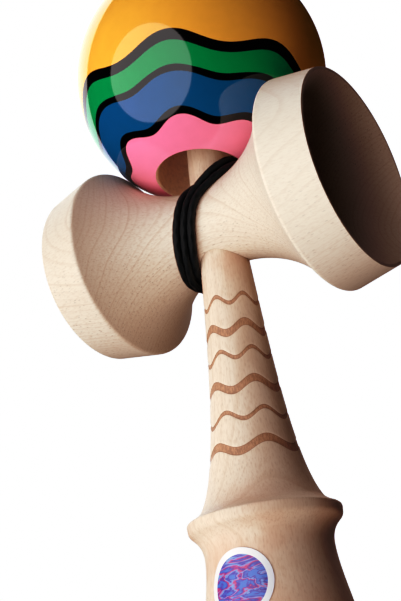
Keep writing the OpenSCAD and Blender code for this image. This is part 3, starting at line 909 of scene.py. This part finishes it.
def handle_outline(s, cross):
    """Radius and height from the base cup's middle to the spike's tip."""
    base_r, waist_r, ring_r, flare_r = (d / 2 for d in (s.base_d, s.waist_d, s.ring_d, s.flare_d))
    low_r, high_r, mouth_r = s.shaft_low_d / 2, s.shaft_high_d / 2, s.base_mouth_d / 2
    seat_half = neck_at(low_r + PRESS_ROOM, cross) + PRESS_ROOM
    low_z, high_z = CROSS_Z - seat_half, CROSS_Z + seat_half
    guide = (waist_r + BASE_GUIDE[0] * (base_r - waist_r), BASE_GUIDE[1] * s.waist_z)
    rim = rounded((mouth_r, 0), (base_r, 0), guide, s.base_round)
    waist = (waist_r, s.waist_z)
    drop = s.ring_z - s.ring_face_h - s.waist_z
    foot = np.array([ring_r - s.ring_face_in, s.ring_z - s.ring_face_h])
    under = foot - np.multiply(UNDER_GUIDE, (ring_r - waist_r, drop))
    foot_edge = rounded(under, foot, (ring_r, s.ring_z), s.ring_round)
    corner, flare = np.array([ring_r, s.ring_z + s.ring_edge_h]), np.array([flare_r, s.flare_z])
    tops = flare + np.multiply(RING_TOP_GUIDES, corner - flare)
    edge = rounded((ring_r, s.ring_z), corner, tops[0], s.ring_round, steps=8)
    shaft = np.array([low_r, low_z])
    grip = shaft + np.multiply(GRIP_GUIDES, flare - shaft)
    tip_r, tip_h = s.spike_tip_d / 2, s.spike_tip_h
    return joined(
        bowl(mouth_r, s.base_cup_depth),
        rim,
        guided(rim[-1], guide, (waist_r, WAIST_GUIDE * s.waist_z), waist, steps=40),
        guided(waist, (waist_r, s.waist_z + UNDER_RISE * drop), under, foot_edge[0], steps=30),
        foot_edge,
        edge,
        guided(edge[-1], *tops, flare, steps=24),
        guided(flare, *grip, shaft, steps=220),
        (high_r, high_z),
        guided((tip_r, TIP_Z - tip_h), (tip_r, TIP_Z - TIP_RISE * tip_h), (TIP_OUT * tip_r, TIP_Z),
               (0, TIP_Z), steps=24),
    )


# Wavy lines cut into the handle: height of the middle, width, waves in a turn, and turn of a low
WAVY_LINES = [(76.4, 1.0, 6, 29), (69.4, 1.9, 5, 16), (63.3, 1.0, 6, 26), (56.0, 1.9, 5, 14),
              (49.2, 1.0, 6, 26), (42.2, 1.9, 5, 14)]


def groove_of(points, s):
    """How far each point lies inside a wavy line: half its width less the height from its middle."""
    turn = np.arctan2(points[:, 0], -points[:, 1])
    depths = [width / 2 - np.abs(points[:, 2] - middle
                                 + s.wave_rise * np.cos(waves * (turn - np.radians(low))))
              for middle, width, waves, low in WAVY_LINES]
    return np.max(depths, axis=0)


def neck_at(x, s):
    """Radius of the neck at a place along the cross piece."""
    return s.neck_d / 2 + s.saddle_r - np.sqrt(s.saddle_r**2 - x**2)


def neck_reach(r, s):
    """Place along the cross piece where the neck has reached a radius."""
    return np.sqrt(s.saddle_r**2 - (s.neck_d / 2 + s.saddle_r - r) ** 2)


def cup_outline(reach, lip_d, edge_d, depth, s):
    """One cup from its bowl's middle over its lip to its back edge, as radius and reach."""
    inside = bowl(lip_d / 2 - s.lip_w, depth) * (1, -1) + (0, reach)
    lip, edge_r = (lip_d / 2, reach), edge_d / 2
    back_r = edge_r - s.edge_round
    edge = rounded(lip, (edge_r, neck_reach(edge_r, s)), (back_r, neck_reach(back_r, s)), s.edge_round)
    return joined(inside, lip, edge)


def cross_outline(s):
    """Radius and place along the cross piece, from the small bowl's middle to the big one's."""
    small = cup_outline(s.small_len, s.small_lip_d, s.small_edge_d, s.small_depth, s)
    big = cup_outline(s.big_len, s.big_lip_d, s.big_edge_d, s.big_depth, s)
    x = np.linspace(-neck_reach(s.small_edge_d / 2 - s.edge_round, s),
                    neck_reach(s.big_edge_d / 2 - s.edge_round, s), NECK_ROWS)
    return joined(small * (1, -1), np.column_stack([neck_at(x, s), x]), big[::-1])


def leaned(points, lean, share):
    """Rows of points tilted about the middle by their share of a small lean to the right and back.

    Each point moves along the lean by its height and down by its place along the lean, and keeps
    its distance from the middle.
    """
    sink = points[..., :2] @ lean
    moved = points + share[:, None, None] * np.concatenate(
        [points[..., 2:] * lean, -sink[..., None]], axis=-1)
    far = np.linalg.norm(points, axis=-1, keepdims=True)
    return far * unit(moved)


# Top of the ball's string hole: radius of its funnel, and where the funnel ends over the middle
TOP_FUNNEL_R, TOP_FUNNEL_END = 2.9, 28.0
# Rows of points on the ball's outside and along the neck
BALL_ROWS, NECK_ROWS = 150, 97


def ball_outlines(s):
    """The painted outside from the hole's mouth to the top, and the bare bore back down."""
    r, hole_r = s.diameter / 2, s.hole_d / 2
    mouth_r = hole_r + s.bevel
    lat = np.linspace(-np.arccos(mouth_r / r), np.arccos(TOP_FUNNEL_R / r), BALL_ROWS)
    outside = np.column_stack([r * np.cos(lat), r * np.sin(lat)])
    string_r, seat_r = s.string_hole_d / 2, s.seat_d / 2
    bore = np.array([(string_r, TOP_FUNNEL_END), (string_r, s.seat_end), (seat_r, s.seat_end),
                     (seat_r, s.hole_end), (s.hole_end_d / 2, s.hole_end),
                     (hole_r, s.bevel - np.sqrt(r**2 - mouth_r**2))])
    return outside, finer(bore, 2 * OUTLINE_STEP)


# Operators


class PieceOperator:
    """What the operators share: they can be undone."""

    bl_options = {"REGISTER", "UNDO"}


class KENDAMA_OT_camera(PieceOperator, bpy.types.Operator):
    """Sets the camera low in front, looking up past the big cup"""

    bl_idname = "kendama.camera"
    bl_label = "Camera"

    place = (0.12596, -0.20747, -0.01709)
    right = (0.80238, 0.58169, -0.13348)
    up = (0.31894, -0.2289, 0.91972)

    def execute(self, context):
        camera = bpy.data.objects.new("camera", bpy.data.cameras.new("camera"))
        context.scene.collection.objects.link(camera)
        right, up = Vector(self.right).normalized(), Vector(self.up).normalized()
        turn = Matrix((right, up, right.cross(up))).transposed()
        camera.matrix_world = Matrix.Translation(self.place) @ turn.to_4x4()
        camera.data.lens = context.scene.kendama.stage.lens
        camera.data.clip_start = 0.01
        context.scene.camera = camera
        return {"FINISHED"}


class KENDAMA_OT_string(PieceOperator, bpy.types.Operator):
    """Winds the braided string round the neck and leads it up into the ball"""

    bl_idname = "kendama.string"
    bl_label = "String"

    # Two heights above the winding, between which the string would stretch with the ball; they are not
    # used
    stretch_start = (0, 0, 0.1125)
    stretch_end = (0, 0, 0.1415)
    # Shares of a knot's width: its strand, and the middle of the strand's way in and out
    knot_strand, knot_middle = 0.30, 0.64
    knot_points = 160

    def execute(self, context):
        settings = context.scene.kendama.string
        size = Sizes(settings)
        line = string_line(Sizes(context.scene.kendama.cross))
        piece = tube("string", line, size.diameter / 2, sides=24, strands=8, pitch=size.braid_pitch,
                     relief=0.06)
        finish = string_finish(settings)
        place(piece, None, "string", ["string_winding", "string_rise"], finish)
        self.stretch_start
        self.stretch_end
        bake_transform(piece)
        half = size.knot_d / 2
        root = CROSS_MIDDLE + (0, ROOT_KNOT_Y - half, 0)
        top = BALL_MIDDLE + (IN_BALL_RISES[-1] - half) * BALL_UP
        knots = [self.knot("root_knot", "ken", root, (0, 1, 0), size.knot_d, finish),
                 self.knot("bead_knot", "string_end", top, BALL_UP, size.knot_d, finish)]
        float(run_of(line)[-1]) * MM
        settings.diameter
        bpy.data.objects[BEAD_NAME]
        return {"FINISHED"}

    def knot(self, name, body, middle, way, size, finish):
        """An overhand knot drawn tight: a tube that goes twice round and three times through."""
        t = np.linspace(0, 2 * np.pi, self.knot_points, endpoint=False)
        strand = self.knot_strand * size
        r = (size - strand) / 2
        wide = r * (self.knot_middle + (1 - self.knot_middle) * np.cos(3 * t))
        local = np.column_stack([wide * np.cos(2 * t), wide * np.sin(2 * t), r * np.sin(3 * t)])
        up = unit(np.array(way, float))
        right = unit(RIGHT - up[0] * up)
        line = middle + local @ np.array([right, np.cross(up, right), up])
        piece = tube(name + "_tied", line, strand / 2, sides=14, strands=8, pitch=0.9, relief=0.05,
                     ring=True)
        place(piece, body, "string", [name], finish)
        return piece


class KENDAMA_OT_handle(PieceOperator, bpy.types.Operator):
    """Turns the handle with its base cup, ring, grip and spike, and cuts its wavy lines"""

    bl_idname = "kendama.handle"
    bl_label = "Handle"

    # Width over which a wavy line gets its depth
    groove_edge = 0.2

    def execute(self, context):
        settings = context.scene.kendama.handle
        size = Sizes(settings)
        outline = handle_outline(size, Sizes(context.scene.kendama.cross))
        piece = solid("handle_turned", finer(outline, OUTLINE_STEP))
        points = corners_of(piece)
        groove = groove_of(points, size)
        r = np.maximum(np.hypot(points[:, 0], points[:, 1]), SAME)
        cut = size.wave_depth * eased(groove / self.groove_edge + 0.5)
        points[:, :2] *= (1 - cut / r)[:, None]
        piece.data.vertices.foreach_set("co", (points * MM).ravel())
        mark(piece, "groove", groove)
        piece.data.update()
        place(piece, "ken", "maple", ["handle"], handle_finish(settings), sharp=40)
        return {"FINISHED"}


class KENDAMA_OT_cross_piece(PieceOperator, bpy.types.Operator):
    """Turns the cross piece with its two cups, and bores it for the handle and the string"""

    bl_idname = "kendama.cross_piece"
    bl_label = "Cross piece"

    # The handle's bore: its radius this far below and above the middle
    bore_reach, bore_low_r, bore_high_r = 30, 6.03, 5.355
    # The string's hole at the back: its start, radius and funnel, out from the handle's axis
    hole_start, hole_r = 2, 1.5
    funnel_start, funnel_end, funnel_r = 7.2, 10.7, 4.6

    def execute(self, context):
        settings = context.scene.kendama.cross
        outline = cross_outline(Sizes(settings))
        piece = solid("cross_piece_turned", finer(outline, OUTLINE_STEP), about_x)
        low, high = CROSS_Z - self.bore_reach, CROSS_Z + self.bore_reach
        bore = [(0, low), (self.bore_low_r, low), (self.bore_high_r, high), (0, high)]
        bore_tool = solid("bore_tool", np.array(bore, float), columns=96)
        hole = [(0, self.hole_start), (self.hole_r, self.hole_start), (self.hole_r, self.funnel_start),
                (self.funnel_r, self.funnel_end), (0, self.funnel_end)]
        hole_tool = solid("hole_tool", np.array(hole, float), about_y, columns=32)
        carve(piece, bore_tool, hole_tool)
        place(piece, "ken", "maple", ["cross_piece"], cross_finish(settings), sharp=35)
        return {"FINISHED"}


class KENDAMA_OT_ball(PieceOperator, bpy.types.Operator):
    """Turns the ball with its stepped hole, and paints its wavy bands"""

    bl_idname = "kendama.ball"
    bl_label = "Ball"

    # The mouth leans with the bands; the lean fades out over this reach, up to this height over the
    # middle
    lean_reach, lean_top = 48, 20

    def execute(self, context):
        settings = context.scene.kendama.ball
        size = Sizes(settings)
        outside, bore = ball_outlines(size)
        outline = np.vstack([outside, bore])
        points = turned(outline)
        lean = np.array([PAINT_UP @ BALL_RIGHT, PAINT_UP @ BALL_BACK])
        points = leaned(points, lean, eased((self.lean_top - outline[:, 1]) / self.lean_reach))
        piece = skin("ball_turned", about_ball(points), ring=True)
        lon = np.linspace(0, 2 * np.pi, COLUMNS, endpoint=False)
        up = (about_ball(points) - BALL_MIDDLE) @ PAINT_UP / np.hypot(*outline.T)[:, None]
        lat = np.degrees(np.arcsin(np.clip(up, -1, 1)))
        rise = np.interp(-np.abs(lat), *BAND_EDGES.T)
        wave = -rise * np.cos(settings.wave_count * (lon - np.radians(BAND_LOW_TURN)))
        mark(piece, "band", (np.clip(lat - wave, -90, 90) + 90) / 180)
        rows = np.repeat(np.arange(len(outline)), COLUMNS)
        place(piece, "tama", "lacquered_wood", ["ball"], lacquer_finish(settings),
              bare_hole_finish(settings), sharp=30)
        bare = (rows >= len(outside) - 1).astype(np.int32)
        piece.data.polygons.foreach_set("material_index", bare)
        return {"FINISHED"}


class KENDAMA_OT_bead(PieceOperator, bpy.types.Operator):
    """Turns the bead that holds the string in the ball"""

    bl_idname = "kendama.bead"
    bl_label = "Bead"

    # Rows of points outside and in the bore, and points in each row
    outer_rows, bore_rows, columns = 40, 10, 64

    def execute(self, context):
        settings = context.scene.kendama.bead
        size = Sizes(settings)
        r, hole_r = size.diameter / 2, size.hole_d / 2
        end = np.arccos(hole_r / r)
        lat = np.linspace(-end, end, self.outer_rows)
        outside = np.column_stack([r * np.cos(lat), r * np.sin(lat)])
        bore = np.linspace(outside[-1, 1], outside[0, 1], self.bore_rows + 2)[1:-1]
        inside = np.column_stack([np.full(self.bore_rows, hole_r), bore])
        outline = np.vstack([outside, inside]) + (0, size.rise)
        piece = skin(BEAD_NAME, about_ball(turned(outline, self.columns)), ring=True)
        place(piece, "string_end", "bead_wood", ["bead"], bead_finish(settings), sharp=40)
        return {"FINISHED"}


class KENDAMA_OT_sticker(PieceOperator, bpy.types.Operator):
    """Lays the round sticker on the base"""

    bl_idname = "kendama.sticker"
    bl_label = "Sticker"

    # Rows of points on the back and on the front, and points in each row
    back_rows, front_rows, columns = 23, 59, 96
    # The base's side, between these heights and outside this radius
    side_low, side_high, side_r = 1, 26, 13

    def execute(self, context):
        kendama = context.scene.kendama
        settings = kendama.sticker
        size = Sizes(settings)
        handle = handle_outline(Sizes(kendama.handle), Sizes(kendama.cross))
        wide, z = handle.T
        side = handle[(z > self.side_low) & (z < self.side_high) & (wide > self.side_r)]
        base = (side, size.height, settings.turn)
        r, low, high = size.diameter / 2, size.glue, size.glue + size.thickness
        # Rows from the middle of the back over the edge to the middle of the front
        out = np.concatenate([np.linspace(0, r, self.back_rows + 1)[1:],
                              np.linspace(r, 0, self.front_rows + 1)[:-1]])
        lift = np.repeat([low, high], [self.back_rows, self.front_rows])
        around = np.linspace(0, 2 * np.pi, self.columns, endpoint=False)
        u, v = out[:, None] * np.cos(around), out[:, None] * np.sin(around)
        ends = self.wrap(np.zeros(2), np.zeros(2), np.array([low, high]), *base)
        piece = skin("sticker_round", self.wrap(u, v, lift[:, None], *base), start=ends[0], end=ends[1])
        inset = r - size.border - np.append(np.repeat(out, self.columns), [0, 0])
        mark(piece, "inset", inset)
        place(piece, "ken", "vinyl", ["base_sticker"], sticker_finish(settings), sharp=50)
        return {"FINISHED"}

    def wrap(self, u, v, lift, side, height, turn):
        """Lays flat places on the base: v goes up from the height, and u round it by its radius."""
        z = height + v
        r = np.interp(z, side[:, 1], side[:, 0])
        a = turn + u / r
        r = r + lift
        return np.stack([r * np.sin(a), -r * np.cos(a), z], axis=-1)


class KENDAMA_OT_stage(PieceOperator, bpy.types.Operator):
    """Lays the floor, sets the soft studio lights and the room, and how light shows"""

    bl_idname = "kendama.stage"
    bl_label = "Stage"

    middle = Vector((0, 0, 0.11))
    # The floor's half width in metres, and the distances from the middle, in millimetres, between
    # which it fades into the white room
    floor_half = 2.0
    floor_fade = (160, 620)
    # Direction from the middle, distance and width in metres, tint, and whether the lacquer mirrors
    # the light; the last four only fill
    lights = {
        "key": ((-0.25, -0.91, -0.13), 0.62, 1.04, (1.0, 0.995, 0.985), True),
        "rim": ((-0.72, 0.40, 0.64), 0.66, 0.72, (1.0, 0.99, 0.97), True),
        "side": ((-0.75, -0.45, -0.48), 0.62, 0.8, (1.0, 1.0, 1.0), False),
        "top": ((-0.2, -0.5, 0.85), 0.62, 0.8, (1.0, 1.0, 1.0), False),
        "low": ((0.0, -0.62, -0.78), 0.62, 0.3, (1.0, 0.86, 0.72), False),
        "back": ((-0.15, 0.95, 0.28), 0.62, 0.6, (1.0, 0.98, 0.95), False),
    }
    room_warm = (1.0, 0.62, 0.40, 1)
    # Light and how it shows, in red, green and blue, for the deep warm shadows of a contrasty picture
    print_curves = (((0.02, 0.009), (0.06, 0.035), (0.20, 0.155), (0.45, 0.41), (0.80, 0.81)),
                    ((0.02, 0.007), (0.06, 0.022), (0.20, 0.116), (0.35, 0.255), (0.70, 0.735)),
                    ((0.02, 0.007), (0.06, 0.021), (0.15, 0.078), (0.26, 0.172), (0.55, 0.595)))

    def execute(self, context):
        stage = context.scene.kendama.stage
        self.floor(stage)
        for name, light in self.lights.items():
            self.box(name + "_light", getattr(stage, name), *light)
        self.room(context, stage)
        view = context.scene.view_settings
        view.view_transform = "Standard"
        view.use_curve_mapping = True
        for curve, bends in zip(view.curve_mapping.curves, self.print_curves):
            for light, shown in bends:
                curve.points.new(light, shown)
        view.curve_mapping.update()
        return {"FINISHED"}

    def floor(self, stage):
        """A pale floor that shows from above only, so that the low camera sees past it."""
        mesh = bpy.data.meshes.new("floor")
        half = self.floor_half
        corners = [(-half, -half, 0), (half, -half, 0), (half, half, 0), (-half, half, 0)]
        mesh.from_pydata(corners, [], [(0, 1, 2, 3)])
        floor = bpy.data.objects.new("floor", mesh)
        bpy.context.scene.collection.objects.link(floor)
        finish = Finish("pale_floor", Roughness=0.8, Emission_Color=(*stage.floor, 1),
                        Emission_Strength=stage.glow)
        spot = finish.spot()
        cloud = finish.noise(spot, scale=0.004)
        finish.show(finish.mix(cloud, stage.floor, darker(stage.floor, 0.95)))
        under = finish.node("NewGeometry", {}).outputs["Backfacing"]
        away = finish.step(finish.size(spot), *self.floor_fade)
        gone = finish.math("MAXIMUM", under, away)
        clear = finish.node("BsdfTransparent", {}).outputs[0]
        seen = finish.node("MixShader", {0: gone, 1: finish.shader.outputs[0], 2: clear}).outputs[0]
        finish.put(finish.output.inputs[0], seen)
        mesh.materials.append(finish.material)
        floor.visible_shadow = floor.visible_diffuse = False
        floor.visible_glossy = floor.visible_transmission = False

    def box(self, name, power, way, distance, width, tint, mirrored):
        """A round soft box in a direction from the middle, facing it."""
        light = bpy.data.lights.new(name, "AREA")
        light.shape, light.size, light.energy, light.color = "DISK", width, power, tint
        box = bpy.data.objects.new(name, light)
        way = Vector(way).normalized()
        turn = way.to_track_quat("Z", "Y").to_matrix().to_4x4()
        box.matrix_world = Matrix.Translation(self.middle + way * distance) @ turn
        box.visible_camera, box.visible_glossy = False, mirrored
        bpy.context.scene.collection.objects.link(box)

    def room(self, context, stage):
        """A white room behind, and a dim warm light from all sides."""
        world = bpy.data.worlds.new("room")
        world.use_nodes = True
        nodes, links = world.node_tree.nodes, world.node_tree.links
        nodes.clear()
        white, dim = nodes.new("ShaderNodeBackground"), nodes.new("ShaderNodeBackground")
        white.inputs[0].default_value = (1, 1, 1, 1)
        dim.inputs[0].default_value = self.room_warm
        dim.inputs[1].default_value = stage.fill
        seen, mixed = nodes.new("ShaderNodeLightPath"), nodes.new("ShaderNodeMixShader")
        output = nodes.new("ShaderNodeOutputWorld")
        links.new(seen.outputs["Is Camera Ray"], mixed.inputs[0])
        links.new(dim.outputs[0], mixed.inputs[1])
        links.new(white.outputs[0], mixed.inputs[2])
        links.new(mixed.outputs[0], output.inputs[0])
        context.scene.world = world


OPERATORS = (KENDAMA_OT_camera, KENDAMA_OT_bead, KENDAMA_OT_string, KENDAMA_OT_handle,
             KENDAMA_OT_cross_piece, KENDAMA_OT_ball, KENDAMA_OT_sticker, KENDAMA_OT_stage)


class KENDAMA_PT_build(bpy.types.Panel):
    """Lists the pieces of the kendama"""

    bl_idname = "KENDAMA_PT_build"
    bl_label = "Kendama"
    bl_space_type = "VIEW_3D"
    bl_region_type = "UI"
    bl_category = "Kendama"

    def draw(self, context):
        for operator in OPERATORS:
            self.layout.operator(operator.bl_idname)


GROUPS = (StringSettings, HandleSettings, CrossSettings, BallSettings, BeadSettings,
          StickerSettings, StageSettings, KendamaSettings)


def register():
    """Makes the settings, the operators and the panel known."""
    for kind in (*GROUPS, *OPERATORS, KENDAMA_PT_build):
        bpy.utils.register_class(kind)
    bpy.types.Scene.kendama = PointerProperty(type=KendamaSettings)


def unregister():
    """Takes them away again."""
    del bpy.types.Scene.kendama
    for kind in reversed((*GROUPS, *OPERATORS, KENDAMA_PT_build)):
        bpy.utils.unregister_class(kind)


def main():
    """Builds all the pieces."""
    register()
    for operator in OPERATORS:
        group, name = operator.bl_idname.split(".")
        getattr(getattr(bpy.ops, group), name)()


if __name__ == "__main__":
    main()
